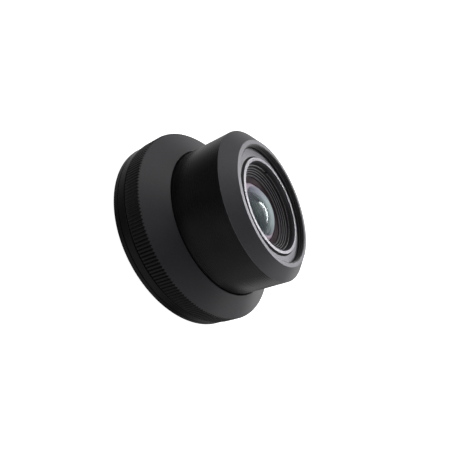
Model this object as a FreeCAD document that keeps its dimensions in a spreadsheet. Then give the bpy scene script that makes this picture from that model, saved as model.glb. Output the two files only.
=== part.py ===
import FreeCAD, Part
import Sketcher
import math
import os

# Aerial mapping lens, millimetres. +Z is the optical axis and points at the
# scene, so the lens stands on its rear mount with the glass looking up. Z = 0 is
# the rear end of the mount tube. At rest the lens is focused at infinity, the
# head is fully in and the shutter blades are open.

V = FreeCAD.Vector
doc = FreeCAD.newDocument("aerial_mapping_lens")
sheet = doc.addObject("Spreadsheet::Sheet", "Dims")
sheet.Label = "Dims"

TABLE = [
    # outside of the lens, rear to front
    ("knurl_radius", 38.40), ("band_radius", 38.17), ("flute_depth", 0.46), ("flute_count", 200),
    ("rear_z", 8.00), ("seam_low_z", 10.17), ("seam_high_z", 10.47), ("base_top_z", 13.36),
    ("knurl_low_z", 13.86), ("knurl_top_z", 20.00), ("lip_z", 25.30), ("lip_radius", 29.80),
    ("barrel_radius", 29.40), ("chamfer_z", 44.69), ("face_z", 48.76), ("rim_radius", 24.52),
    ("mouth_radius", 23.04), ("thread_minor", 22.60), ("thread_major", 23.00), ("thread_pitch", 0.75),
    ("floor_z", 46.25),
    # inside the front opening
    ("ring_face_z", 47.00), ("ring_face_outer", 18.75), ("ring_thread", 19.43), ("ring_face_inner", 17.55),
    ("ring_bore_low", 16.63), ("ring_bore_low_z", 44.77), ("ridge_first_r", 13.95), ("ridge_first_z", 41.70),
    ("ridge_step", 0.62), ("ridge_depth", 0.42), ("lens_lip_radius", 11.49), ("lens_lip_z", 40.64),
    ("cell_top_z", 41.35), ("element_radius", 13.00), ("front_curve", 16.75), ("front_apex_z", 44.80),
    # mount
    ("flange_z", 6.00), ("flange_radius", 33.00), ("tube_radius", 27.00), ("throat_radius", 25.00),
    ("lug_radius", 29.20), ("lug_low_z", 1.00), ("lug_high_z", 2.40), ("lug_angle", 48.0),
    # focusing movement
    ("seat_z", 10.42), ("guide_inner", 29.45), ("guide_outer", 31.20), ("guide_top_z", 21.60),
    ("cam_inner", 31.25), ("cam_outer", 33.20), ("cam_low_z", 11.80), ("cam_top_z", 20.20),
    ("cam_flange_radius", 36.30), ("cam_flange_top", 15.20), ("roller_radius", 1.25), ("roller_gap", 0.02),
    ("roller_z", 14.30), ("focus_travel", 2.50), ("focus_angle", 90.0), ("stop_circle", 35.00),
    ("stop_pin_radius", 0.60),
    # shutter
    ("plate_low_z", 25.00), ("plate_top_z", 26.20), ("cover_low_z", 28.35), ("cover_top_z", 29.40),
    ("unit_radius", 26.95), ("stop_bore", 7.45), ("blade_count", 6), ("pivot_circle", 15.50),
    ("pivot_radius", 0.60), ("drive_arm", 3.00), ("drive_pin_radius", 0.40), ("blade_thickness", 0.12),
    ("blade_first_z", 26.30), ("blade_step", 0.20), ("blade_inner", 8.80), ("blade_outer", 14.30),
    ("drive_low_z", 27.60), ("drive_top_z", 28.20), ("gear_module", 0.40), ("ring_teeth", 102),
    ("pinion_teeth", 12),
]
D = {}
for i, (name, value) in enumerate(TABLE, 1):
    sheet.set("A%d" % i, name)
    sheet.set("B%d" % i, str(value))
    sheet.setAlias("B%d" % i, name)
    D[name] = float(value)
doc.recompute()

NODES = []


def num(c):
    """Value and sheet formula of a size: a number, an alias, or (alias, offset)."""
    if isinstance(c, str):
        return D[c], "Dims." + c
    if isinstance(c, tuple):
        return D[c[0]] + c[1], "Dims.%s %s %.6g" % (c[0], "-" if c[1] < 0 else "+", abs(c[1]))
    return float(c), None


def bind(obj, prop, c):
    v, e = num(c)
    setattr(obj, prop, v)
    if e:
        obj.setExpression(prop, e)


def keep(obj, label):
    obj.Label = label
    NODES.append((label, obj))
    return obj


def origin(body, role):
    for f in body.Origin.OriginFeatures:
        if f.Role == role:
            return f


def outline(body, name, pts, role="XZ_Plane"):
    """Closed polygon sketch whose corners are all dimensioned from the origin."""
    sk = body.newObject("Sketcher::SketchObject", name)
    sk.AttachmentSupport = [(origin(body, role), "")]
    sk.MapMode = "FlatFace"
    xy = [(num(a), num(b)) for a, b in pts]
    n = len(xy)
    sk.addGeometry([Part.LineSegment(V(xy[k][0][0], xy[k][1][0], 0),
                                     V(xy[(k + 1) % n][0][0], xy[(k + 1) % n][1][0], 0))
                    for k in range(n)], False)
    sk.addConstraint([Sketcher.Constraint("Coincident", k, 2, (k + 1) % n, 1) for k in range(n)])
    for k in range(n):
        for kind, (value, formula), axis in (("DistanceX", xy[k][0], -2), ("DistanceY", xy[k][1], -1)):
            if abs(value) < 1e-9:
                sk.addConstraint(Sketcher.Constraint("PointOnObject", k, 1, axis))
                continue
            c = sk.addConstraint(Sketcher.Constraint(kind, -1, 1, k, 1, value))
            if formula:
                sk.setExpression("Constraints[%d]" % c, formula)
    return sk


def turned(label, pts, kept=True):
    """Piece turned on a lathe: outline revolved about the optical axis."""
    body = doc.addObject("PartDesign::Body", label)
    sk = outline(body, label + "_outline", pts)
    rev = body.newObject("PartDesign::Revolution", label + "_turn")
    rev.Profile = sk
    rev.ReferenceAxis = (sk, ["V_Axis"])
    rev.Angle = 360.0
    sk.Visibility = False
    doc.recompute()
    body.Tip = rev
    if kept:
        keep(body, label)
    return body


def rod(name, radius, height, place, direction=V(0, 0, 1)):
    c = doc.addObject("Part::Cylinder", name)
    bind(c, "Radius", radius)
    bind(c, "Height", height)
    c.Placement = FreeCAD.Placement(place, FreeCAD.Rotation(V(0, 0, 1), direction))
    return c


def cone(name, r1, r2, height, place, direction=V(0, 0, 1)):
    c = doc.addObject("Part::Cone", name)
    c.Radius1, c.Radius2, c.Height = r1, r2, height
    c.Placement = FreeCAD.Placement(place, FreeCAD.Rotation(V(0, 0, 1), direction))
    return c


def box(name, lx, ly, lz, low, angle=0.0):
    """Block with one corner at low, then turned about the optical axis."""
    b = doc.addObject("Part::Box", name)
    b.Length, b.Width, b.Height = lx, ly, lz
    turn = FreeCAD.Rotation(V(0, 0, 1), angle)
    b.Placement = FreeCAD.Placement(turn.multVec(low), turn)
    return b


def solid_of(name, shape):
    place = shape.Placement
    f = doc.addObject("Part::Feature", name)
    f.Shape = shape
    f.Placement = place
    return f


def join(label, parts, kept=False):
    f = doc.addObject("Part::MultiFuse", label)
    f.Shapes = parts
    if kept:
        keep(f, label)
    return f


def cut(label, base, tools, kept=True):
    tool = tools[0] if len(tools) == 1 else join(label + "_tools", tools)
    c = doc.addObject("Part::Cut", label + "_cut")
    c.Base, c.Tool = base, tool
    doc.recompute()
    if abs(c.Shape.Volume - base.Shape.Volume) < 1e-6:
        raise SystemExit("nothing was cut from " + label)
    if kept:
        keep(c, label)
    return c


def group(label, parts):
    g = doc.addObject("Part::Compound", label)
    g.Links = parts
    return keep(g, label)


def at(radius, angle, z=0.0):
    a = math.radians(angle)
    return V(radius * math.cos(a), radius * math.sin(a), z)


def out(angle):
    return at(1.0, angle)


def countersunk(name, place, direction, head, head_depth, shank, length, hexagon):
    """Countersunk screw: cone head, shank and a hexagon recess in the head."""
    h = cone(name + "_head", head, shank, head_depth, place, direction)
    s = rod(name + "_shank", shank, length - head_depth, place + direction * head_depth, direction)
    f = join(name + "_blank", [h, s])
    p = doc.addObject("Part::Prism", name + "_key")
    p.Polygon, p.Circumradius, p.Height = 6, hexagon, head_depth * 0.75 + 0.2
    p.Placement = FreeCAD.Placement(place - direction * 0.2, FreeCAD.Rotation(V(0, 0, 1), direction))
    return cut(name, f, [p], kept=False)


def screw_seat(name, place, direction, head, head_depth, shank, length):
    """Countersink and hole that take one such screw."""
    return [cone(name + "_sink", head, shank, head_depth, place, direction),
            rod(name + "_hole", shank, length - head_depth + 0.2, place + direction * head_depth, direction)]


# ---------------------------------------------------------------- rear mount

mount = turned("mount_ring_blank", [
    ("throat_radius", 0.0), (("tube_radius", -0.3), 0.0), ("tube_radius", 0.3), ("tube_radius", "flange_z"),
    (("flange_radius", -0.3), "flange_z"), ("flange_radius", ("flange_z", 0.3)), ("flange_radius", "rear_z"),
    ("throat_radius", "rear_z")], kept=False)
lug_sketch = outline(mount, "lug_outline", [
    (("tube_radius", -0.5), "lug_low_z"), ("lug_radius", "lug_low_z"),
    ("lug_radius", "lug_high_z"), (("tube_radius", -0.5), "lug_high_z")])
lug = mount.newObject("PartDesign::Revolution", "lug")
lug.Profile = lug_sketch
lug.ReferenceAxis = (lug_sketch, ["V_Axis"])
lug.Midplane = True
lug.setExpression("Angle", "Dims.lug_angle")
doc.recompute()
lugs = mount.newObject("PartDesign::PolarPattern", "lugs")
lugs.Originals = [lug]
lugs.Axis = (origin(mount, "Z_Axis"), [""])
lugs.Angle = 360.0
lugs.Occurrences = 3
mount.Tip = lugs
lug_sketch.Visibility = False
doc.recompute()

UP = V(0, 0, 1)
mount_at = [at(30.0, a) for a in (45, 135, 225, 315)]
tools = []
for k, p in enumerate(mount_at):
    tools += screw_seat("mount_seat_%d" % k, p + V(0, 0, D["flange_z"]), UP, 1.9, 0.9, 1.0, 4.0)
tools.append(rod("lock_pin_hole", 0.9, 1.6, at(31.0, 180, D["flange_z"])))
cut("mount_ring", mount, tools)
group("mount_screws", [countersunk("mount_screw_%d" % k, p + V(0, 0, D["flange_z"]), UP, 1.9, 0.9, 1.0, 4.0, 0.62)
                       for k, p in enumerate(mount_at)])

# ---------------------------------------------------------------- rear housing

rear = turned("rear_ring_blank", [
    (26.0, "rear_z"), (("band_radius", -0.45), "rear_z"), ("band_radius", ("rear_z", 0.45)),
    ("band_radius", ("seam_low_z", -0.08)), (("band_radius", -0.08), "seam_low_z"),
    (("band_radius", -0.42), "seam_low_z"), (("band_radius", -0.42), "seat_z"), (26.0, "seat_z")], kept=False)
base_at = [at(35.6, a) for a in (20, 110, 200, 290)]
sleeve_at = [at(32.3, a) for a in (75, 195, 315)]
tools = []
for k, p in enumerate(mount_at):
    tools.append(rod("rear_tap_%d" % k, 1.0, 2.3, p + V(0, 0, D["rear_z"] - 0.1)))
for k, p in enumerate(base_at):
    tools += screw_seat("rear_seat_%d" % k, p + V(0, 0, D["rear_z"]), UP, 1.7, 0.8, 0.9, 4.0)
for k, p in enumerate(sleeve_at):
    tools += screw_seat("sleeve_seat_%d" % k, p + V(0, 0, D["rear_z"]), UP, 1.0, 0.5, 0.6, 3.0)
cut("rear_ring", rear, tools)
group("rear_ring_screws", [countersunk("rear_screw_%d" % k, p + V(0, 0, D["rear_z"]), UP, 1.7, 0.8, 0.9, 4.0, 0.55)
                           for k, p in enumerate(base_at)])
group("sleeve_screws", [countersunk("sleeve_screw_%d" % k, p + V(0, 0, D["rear_z"]), UP, 1.0, 0.5, 0.6, 3.0, 0.34)
                        for k, p in enumerate(sleeve_at)])

base = turned("base_ring_blank", [
    (33.5, "seat_z"), (("band_radius", -0.42), "seat_z"), (("band_radius", -0.42), "seam_high_z"),
    (("band_radius", -0.08), "seam_high_z"), ("band_radius", ("seam_high_z", 0.08)),
    ("band_radius", ("base_top_z", -0.12)), (("band_radius", -0.12), "base_top_z"), (33.5, "base_top_z")],
    kept=False)
stop_low = 11.9
tools = [rod("base_tap_%d" % k, 0.9, 1.8, p + V(0, 0, D["seat_z"] - 0.1)) for k, p in enumerate(base_at)]
tools.append(rod("stop_hole", "stop_pin_radius", 3.0, at(D["stop_circle"], 150.0, stop_low)))
cut("base_ring", base, tools)
stop = rod("focus_stop_pin_rod", "stop_pin_radius", 2.9, at(D["stop_circle"], 150.0, stop_low))
keep(stop, "focus_stop_pin")

# Guide sleeve: three straight slots keep the lens head from turning.
gap = D["roller_gap"]
slot_half = D["roller_radius"] + gap
slot_low, slot_high = D["roller_z"], D["roller_z"] + D["focus_travel"]
roller_angles = (30.0, 150.0, 270.0)
guide = turned("guide_sleeve_blank", [
    ("guide_inner", "seat_z"), (33.4, "seat_z"), (33.4, 11.4), ("guide_outer", 11.4),
    ("guide_outer", "guide_top_z"), ("guide_inner", "guide_top_z")], kept=False)
tools = []
for k, a in enumerate(roller_angles):
    tools.append(box("guide_slot_%d" % k, 4.0, 2 * slot_half, slot_high - slot_low + 0.3,
                     V(28.5, -slot_half, slot_low - 0.15), a))
    for j, z in enumerate((slot_low - 0.15, slot_high + 0.15)):
        tools.append(rod("guide_slot_end_%d_%d" % (k, j), slot_half, 4.0, at(28.5, a, z), out(a)))
for k, p in enumerate(sleeve_at):
    tools.append(rod("guide_tap_%d" % k, 0.6, 1.4, p + V(0, 0, D["seat_z"] - 0.1)))
cut("guide_sleeve", guide, tools)
turned("thrust_washer", [("cam_inner", 11.4), (("cam_outer", -0.05), 11.4), (("cam_outer", -0.05), 11.75),
                         ("cam_inner", 11.75)])
turned("friction_washer", [("cam_inner", ("cam_top_z", 0.05)), (32.9, ("cam_top_z", 0.05)),
                           (32.9, ("cam_top_z", 0.35)), ("cam_inner", ("cam_top_z", 0.35))])
lock = turned("sleeve_lock_ring_blank", [("guide_outer", ("cam_top_z", 0.35)), (32.85, ("cam_top_z", 0.35)),
                                         (32.85, "guide_top_z"), ("guide_outer", "guide_top_z")], kept=False)
cut("sleeve_lock_ring", lock, [box("lock_notch_%d" % k, 2.4, 1.2, 0.6, V(31.0, -0.6, 21.1), 90.0 * k)
                               for k in range(4)])

# Contacts, circuit board and the mask that frames the picture.
def sector(name, r1, r2, z1, z2, a1, a2):
    """Block of ring: between two radii, two heights and two angles."""
    ring = Part.makeCylinder(r2, z2 - z1, V(0, 0, z1), UP, a2 - a1).cut(
        Part.makeCylinder(r1, z2 - z1 + 2, V(0, 0, z1 - 1), UP, 360.0))
    ring.rotate(V(0, 0, 0), UP, a1)
    return solid_of(name, ring)


contact_angles = [90.0 + 8.5 * (k - 3.5) for k in range(8)]
block = sector("contact_block_blank", 20.6, 24.95, 0.9, 5.9, 54.0, 126.0)
cut("contact_block", block, [rod("contact_hole_%d" % k, 0.55, 6.0, at(22.8, a, 0.5))
                             for k, a in enumerate(contact_angles)])
group("contact_pins", [join("contact_pin_%d" % k, [
    rod("contact_rod_%d" % k, 0.55, 7.4, at(22.8, a, 0.7)),
    cone("contact_tip_%d" % k, 0.25, 0.55, 0.25, at(22.8, a, 0.45))]) for k, a in enumerate(contact_angles)])
mask = turned("rear_mask_blank", [(2.0, 6.0), (24.95, 6.0), (24.95, 6.8), (2.0, 6.8)], kept=False)
slot_tool = sector("mask_slot", 21.9, 23.7, 5.5, 7.3, 56.0, 124.0)
cut("rear_mask", mask, [box("mask_window", 30.0, 22.0, 3.0, V(-15.0, -11.0, 5.0)), slot_tool])
board = turned("circuit_board_blank", [(18.0, 8.1), (25.8, 8.1), (25.8, 9.1), (18.0, 9.1)], kept=False)
tools = [box("chip_cut", 0.5, 0.5, 3.0, V(17.6, -0.25, 7.0))]
cut("circuit_board", board, tools)
chips = [box("chip_0", 4.0, 4.0, 0.8, V(19.6, -2.0, 9.1), 20.0), box("chip_1", 3.0, 5.0, 0.7, V(19.8, -2.5, 9.1), 165.0),
         box("chip_2", 2.2, 3.0, 0.9, V(20.4, -1.5, 9.1), 215.0), box("chip_3", 3.0, 3.0, 0.6, V(20.0, -1.5, 9.1), 320.0)]
group("board_chips", chips)

# ---------------------------------------------------------------- focus ring

def knurl_blank():
    """Prism with V flutes all round, as long as the ring."""
    n, r, d = int(D["flute_count"]), D["knurl_radius"], D["flute_depth"]
    pts = []
    for k in range(n):
        a = 360.0 * k / n
        w = 360.0 / n
        pts += [at(r, a - 0.17 * w), at(r, a + 0.17 * w), at(r - d, a + 0.44 * w), at(r - d, a + 0.56 * w)]
    wire = Part.makePolygon(pts + [pts[0]])
    prism = Part.Face(wire).extrude(V(0, 0, 14.0))
    prism.translate(V(0, 0, D["knurl_low_z"] - 0.5))
    return prism


knurl = solid_of("knurl_prism", knurl_blank())
ring = turned("focus_ring_blank", [
    (36.4, "knurl_low_z"), (("knurl_radius", -0.25), "knurl_low_z"), ("knurl_radius", ("knurl_low_z", 0.25)),
    ("knurl_radius", ("knurl_top_z", -0.05)), (("knurl_radius", -0.06), "knurl_top_z"),
    (("lip_radius", 0.22), ("lip_z", 0.0)), ("lip_radius", ("lip_z", -0.10)), ("lip_radius", 24.72), (30.9, 24.72),
    (30.9, 23.92), ("lip_radius", 23.92), ("lip_radius", 23.3), (33.22, 21.8), (33.22, "cam_flange_top"),
    (36.4, "cam_flange_top")], kept=False)
flute = doc.addObject("Part::Common", "focus_ring_fluted")
flute.Base, flute.Tool = ring, knurl
cam_screw_at = [at(34.8, a) for a in (200, 250, 300, 350, 40)]
tools = [rod("ring_tap_%d" % k, 0.6, 2.2, p + V(0, 0, D["cam_flange_top"] - 0.1)) for k, p in enumerate(cam_screw_at)]
doc.recompute()
cut("focus_ring", flute, tools)
turned("dust_seal", [(("barrel_radius", 0.06), 23.92), (30.9, 23.92), (30.9, 24.72), (("barrel_radius", 0.06), 24.72)])

# Cam sleeve: three helical slots of one lead, left hand, so that turning the
# ring counter-clockwise lifts the head.
cam = turned("cam_sleeve_blank", [
    ("cam_inner", "cam_low_z"), ("cam_outer", "cam_low_z"), ("cam_outer", 13.96), ("cam_flange_radius", 13.96),
    ("cam_flange_radius", "cam_flange_top"), ("cam_outer", "cam_flange_top"), ("cam_outer", "cam_top_z"),
    ("cam_inner", "cam_top_z")], kept=False)


def helical_slot(angle):
    """Slot that a radial roller follows: a band of one lead with round ends."""
    lead = D["focus_travel"] * 360.0 / D["focus_angle"]
    over = 1.5
    span = D["focus_angle"] + 2 * over
    rise = lead * span / 360.0
    r1, r2, half = D["cam_inner"] - 0.6, D["cam_outer"] + 0.15, slot_half
    edge = {}
    for i, r in (("in", r1), ("out", r2)):
        for j, z in (("low", -half), ("high", half)):
            w = Part.makeHelix(lead, rise, r, 0, True)
            w.translate(V(0, 0, z))
            edge[i, j] = w.Edges[0]
    faces = [Part.makeRuledSurface(edge["in", "low"], edge["out", "low"]),
             Part.makeRuledSurface(edge["in", "high"], edge["out", "high"]),
             Part.makeRuledSurface(edge["in", "low"], edge["in", "high"]),
             Part.makeRuledSurface(edge["out", "low"], edge["out", "high"])]
    for a, z in ((0.0, 0.0), (-span, rise)):
        p = [at(r1, a, z - half), at(r2, a, z - half), at(r2, a, z + half), at(r1, a, z + half)]
        faces.append(Part.Face(Part.makePolygon(p + [p[0]])))
    skin = Part.Compound(faces)
    skin.sewShape(1e-4)
    band = Part.Solid(skin.Shells[0])
    if band.Volume < 0:
        band.reverse()
    ends = [Part.makeCylinder(half, r2 - r1, at(r1, a, z), out(a)) for a, z in ((0.0, 0.0), (-span, rise))]
    s = band.fuse(ends)
    s.translate(V(0, 0, D["roller_z"] - lead * over / 360.0))
    s.rotate(V(0, 0, 0), UP, angle + over)
    return s


slots = [solid_of("cam_slot_%d" % k, helical_slot(a)) for k, a in enumerate(roller_angles)]
margin = math.degrees((D["stop_pin_radius"] + 0.15) / D["stop_circle"])
stop_slot = sector("stop_slot", D["stop_circle"] - 0.75, D["stop_circle"] + 0.75, 13.5, 15.6,
                   150.0 - D["focus_angle"] - margin, 150.0 + margin)
tools = slots + [stop_slot]
for k, p in enumerate(cam_screw_at):
    tools += screw_seat("cam_seat_%d" % k, p + V(0, 0, 13.96), UP, 1.0, 0.5, 0.6, 3.0)
cut("cam_sleeve", cam, tools)
group("cam_sleeve_screws", [countersunk("cam_screw_%d" % k, p + V(0, 0, 13.96), UP, 1.0, 0.5, 0.6, 3.0, 0.34)
                            for k, p in enumerate(cam_screw_at)])

# ---------------------------------------------------------------- lens head

barrel_blank = turned("front_barrel_blank", [
    (27.0, 12.6), (("barrel_radius", -0.2), 12.6), ("barrel_radius", 12.8), ("barrel_radius", ("chamfer_z", -0.08)),
    (("barrel_radius", -0.09), ("chamfer_z", 0.07)),
    (("rim_radius", 0.10), ("face_z", -0.07)), (("rim_radius", -0.03), "face_z"), ("mouth_radius", "face_z"),
    ("thread_minor", 48.46), ("thread_minor", 48.39), ("thread_major", 48.15), ("thread_minor", 47.91),
    ("thread_minor", 47.64), ("thread_major", 47.40), ("thread_minor", 47.16),
    ("thread_minor", 47.11), (("thread_major", 0.45), 47.11), (("thread_major", 0.45), 46.84),
    (("thread_major", 0.12), 46.84), (("thread_major", 0.12), 46.60), (("thread_major", 0.01), 46.36),
    (("thread_major", -0.23), "floor_z"),
    ("ring_thread", "floor_z"), ("ring_thread", 42.6), (26.2, 42.6), (26.2, "cover_top_z"),
    (27.0, "cover_top_z")], kept=False)
tools = [rod("barrel_tap_%d" % k, 0.7, 3.4, at(26.5, a, D["roller_z"]), out(a)) for k, a in enumerate(roller_angles)]
cut("front_barrel", barrel_blank, tools)

ring_blank = turned("front_retaining_ring_blank", [
    (("ring_face_inner", 0.07), "ring_face_z"), (("ring_face_outer", -0.06), "ring_face_z"),
    ("ring_face_outer", ("ring_face_z", -0.06)), ("ring_thread", ("floor_z", 0.02)), ("ring_thread", 44.15),
    (17.7, 44.15), (17.7, "ring_bore_low_z"), ("ring_bore_low", "ring_bore_low_z"),
    ("ring_face_inner", ("ring_face_z", -0.08))], kept=False)
cut("front_retaining_ring", ring_blank, [box("spanner_notch_%d" % k, 1.3, 1.1, 0.75, V(16.2, -0.55, 44.6), a)
                                         for k, a in enumerate((42.5, 222.5))])

baffle_pts = [(13.72, 41.38)]
step, half = D["ridge_step"], math.sqrt(0.5)
for k in range(4):
    for along, down in ((0.0, 0.0), (0.26, 0.0), (0.38, D["ridge_depth"]), (0.74, D["ridge_depth"])):
        baffle_pts.append((("ridge_first_r", k * step + (along + down) * half), ("ridge_first_z", k * step + (along - down) * half)))
baffle_pts += [(16.42, 43.98), (16.6, 44.15), (("ring_thread", -0.02), 44.15), (("ring_thread", -0.02), 43.2), (17.4, 43.2),
               (17.4, 42.2), (16.6, 41.38)]
turned("light_baffle", baffle_pts)

turned("front_lens_ring", [
    ("lens_lip_radius", "lens_lip_z"), (13.7, "cell_top_z"), (15.18, "cell_top_z"), (15.18, 39.0), (13.05, 39.0),
    (13.05, 39.55), (("lens_lip_radius", 0.0), 40.27)])
turned("front_cell", [
    (9.2, 28.4), (10.45, 28.4), (10.45, "cover_top_z"), (15.5, "cover_top_z"), (15.5, 37.4), (19.0, 38.2),
    (19.0, "cell_top_z"), (15.2, "cell_top_z"), (15.2, 39.0), (13.05, 39.0), (13.05, 30.6), (9.2, 30.6)])


def sphere(name, radius, z):
    s = doc.addObject("Part::Sphere", name)
    s.Radius = radius
    s.Placement = FreeCAD.Placement(V(0, 0, z), FreeCAD.Rotation())
    return s


def element(label, rim, low, high, front=None, back=None):
    """Lens element: a disc, its front and back ground to spheres. front and back
    are (apex z, radius); a negative radius is a hollow."""
    e = rod(label + "_disc", rim, high - low, V(0, 0, low))
    for side, spec in (("front", front), ("back", back)):
        if spec is None:
            continue
        z, r = spec
        sign = 1.0 if side == "front" else -1.0
        s = sphere("%s_%s_sphere" % (label, side), abs(r), z - sign * r)
        if r > 0:
            c = doc.addObject("Part::Common", "%s_%s" % (label, side))
        else:
            c = doc.addObject("Part::Cut", "%s_%s" % (label, side))
        c.Base, c.Tool = e, s
        e = c
    doc.recompute()
    return keep(e, label)


element("front_element", "element_radius", 35.83, 46.0, (D["front_apex_z"], D["front_curve"]), (42.0, -12.5))
turned("front_spacer", [(12.0, 33.58), (13.0, 33.24), (13.0, 35.83), (12.05, 35.83)])
element("second_element", "element_radius", 30.6, 36.0, (35.6, 36.4), (32.2, -12.0))

# ---------------------------------------------------------------- shutter

n_blades = int(D["blade_count"])
blade_angles = [20.0 + 360.0 / n_blades * k for k in range(n_blades)]
post_angles = (50.0, 170.0, 290.0)
posts_at = [at(24.4, a) for a in post_angles]
motor_x = 0.5 * D["gear_module"] * (D["ring_teeth"] + D["pinion_teeth"])

plate = turned("shutter_plate_disc", [
    ("stop_bore", ("plate_top_z", -0.3)), (10.5, ("plate_top_z", -0.3)), (10.5, "plate_low_z"),
    ("unit_radius", "plate_low_z"), ("unit_radius", "plate_top_z"), ("stop_bore", "plate_top_z")], kept=False)
pins = [rod("pivot_pin_%d" % k, "pivot_radius", 1.75, at(D["pivot_circle"], a, D["plate_top_z"] - 0.5))
        for k, a in enumerate(blade_angles)]
plate_full = join("shutter_plate_pinned", [plate] + pins)
doc.recompute()
cut("shutter_plate", plate_full, [rod("plate_tap_%d" % k, 0.8, 1.3, p + V(0, 0, D["plate_top_z"] - 0.9))
                                  for k, p in enumerate(posts_at)])
cover = turned("shutter_cover_blank", [
    ("stop_bore", 27.55), (16.5, 27.55), (16.5, "cover_low_z"), ("unit_radius", "cover_low_z"),
    ("unit_radius", "cover_top_z"), (10.5, "cover_top_z"), (10.5, 28.4), ("stop_bore", 28.4)], kept=False)
tools = [rod("pinion_hole", 0.7, 2.0, V(motor_x, 0, 28.0))]
for k, p in enumerate(posts_at):
    tools += screw_seat("post_seat_%d" % k, p + V(0, 0, D["cover_top_z"]), -UP, 1.5, 0.7, 0.8, 3.6)
cut("shutter_cover", cover, tools)
posts = []
for k, p in enumerate(posts_at):
    posts.append(cut("post_%d" % k, rod("post_rod_%d" % k, 1.4, D["cover_low_z"] - D["plate_top_z"], p + V(0, 0, D["plate_top_z"])),
                     [rod("post_bore_%d" % k, 0.8, 4.0, p + V(0, 0, 25.9))], kept=False))
group("shutter_posts", posts)
group("shutter_screws", [countersunk("shutter_screw_%d" % k, p + V(0, 0, D["cover_top_z"]), -UP, 1.5, 0.7, 0.8, 3.9, 0.5)
                         for k, p in enumerate(posts_at)])
lock = turned("shutter_lock_ring_blank", [(24.4, 23.6), (26.95, 23.6), (26.95, "plate_low_z"), (24.4, "plate_low_z")],
              kept=False)
cut("shutter_lock_ring", lock, [box("unit_notch_%d" % k, 2.0, 1.4, 0.7, V(24.0, -0.7, 23.2), 180.0 * k) for k in range(2)])


def blade_shape():
    """One crescent blade with its pivot eye, in the open position; pivot on +X."""
    t, r1, r2 = D["blade_thickness"], D["blade_inner"], D["blade_outer"]
    pc, arm = D["pivot_circle"], D["drive_arm"]
    first, last = -6.0, 118.0
    mid, half = 0.5 * (r1 + r2), 0.5 * (r2 - r1)
    p = [at(r2, first), at(r2, 0.5 * (first + last)), at(r2, last), at(mid, last) + at(half, last + 90.0),
         at(r1, last), at(r1, 0.5 * (first + last)), at(r1, first)]
    edges = [Part.Arc(p[0], p[1], p[2]).toShape(), Part.Arc(p[2], p[3], p[4]).toShape(),
             Part.Arc(p[4], p[5], p[6]).toShape(), Part.makeLine(p[6], p[0])]
    leaf = Part.Face(Part.Wire(edges)).extrude(V(0, 0, t))
    neck = Part.makeBox(pc - 11.6, 2.6, t, V(11.6, -1.3, 0))
    eye = Part.makeCylinder(1.6, t, V(pc, 0, 0))
    tail = Part.makeBox(arm, 1.6, t, V(pc, -0.8, 0)).fuse(Part.makeCylinder(0.8, t, V(pc + arm, 0, 0)))
    return leaf.fuse([neck, eye, tail]).removeSplitter().cut(Part.makeCylinder(D["pivot_radius"] + 0.03, 2.0, V(pc, 0, -1.0)))


for k, a in enumerate(blade_angles):
    z = D["blade_first_z"] + D["blade_step"] * k
    s = blade_shape()
    s.translate(V(0, 0, z))
    pin = Part.makeCylinder(D["drive_pin_radius"], D["drive_top_z"] - z - 0.05, V(D["pivot_circle"] + D["drive_arm"], 0, z))
    s = s.fuse(pin)
    s.rotate(V(0, 0, 0), UP, a)
    keep(solid_of("shutter_blade_%d" % (k + 1), s), "shutter_blade_%d" % (k + 1))


def tooth_gear(teeth, addendum, dedendum, backlash, phase, wanted=None):
    """Spur gear face with involute flanks; wanted picks which teeth are cut."""
    m = D["gear_module"]
    r = 0.5 * m * teeth
    rb, ra, rf = r * math.cos(math.radians(20.0)), r + addendum, r - dedendum
    inv = lambda x: math.tan(x) - x
    half = math.pi / (2 * teeth) - backlash / (2 * r) + inv(math.radians(20.0))
    low = max(rb, rf)
    pts = []
    for k in range(teeth):
        c = math.radians(phase) + 2 * math.pi * k / teeth
        pitch = 2 * math.pi / teeth
        if wanted is None or wanted(math.degrees(c)):
            radii = [low + (ra - low) * j / 5.0 for j in range(6)]
            side = [(q, half - inv(math.acos(min(1.0, rb / q)))) for q in radii]
            root = [(rf, side[0][1])] if rf < low - 1e-6 else []
            for q, w in root + side:
                pts.append(V(q * math.cos(c - w), q * math.sin(c - w), 0))
            for q, w in reversed(root + side):
                pts.append(V(q * math.cos(c + w), q * math.sin(c + w), 0))
        else:
            for f in (-0.25, 0.25):
                pts.append(V(rf * math.cos(c + f * pitch), rf * math.sin(c + f * pitch), 0))
    return Part.Face(Part.makePolygon(pts + [pts[0]]))


def near_zero(deg):
    d = (deg + 180.0) % 360.0 - 180.0
    return -14.0 < d < 14.0


m = D["gear_module"]
disc = tooth_gear(int(D["ring_teeth"]), 0.7 * m, 1.25 * m, 0.05, 0.0, near_zero).extrude(
    V(0, 0, D["drive_top_z"] - D["drive_low_z"]))
disc.translate(V(0, 0, D["drive_low_z"]))
disc = disc.cut(Part.makeCylinder(16.55, 3.0, V(0, 0, 26.5)))
slot_w = D["drive_pin_radius"] + 0.05
for a in blade_angles:
    s = Part.makeBox(1.0, 2 * slot_w, 3.0, V(17.80, -slot_w, 26.5)).fuse(
        [Part.makeCylinder(slot_w, 3.0, V(17.80, 0, 26.5)), Part.makeCylinder(slot_w, 3.0, V(18.8, 0, 26.5))])
    s.rotate(V(0, 0, 0), UP, a)
    disc = disc.cut(s)
keep(solid_of("shutter_drive_ring", disc), "shutter_drive_ring")

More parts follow.
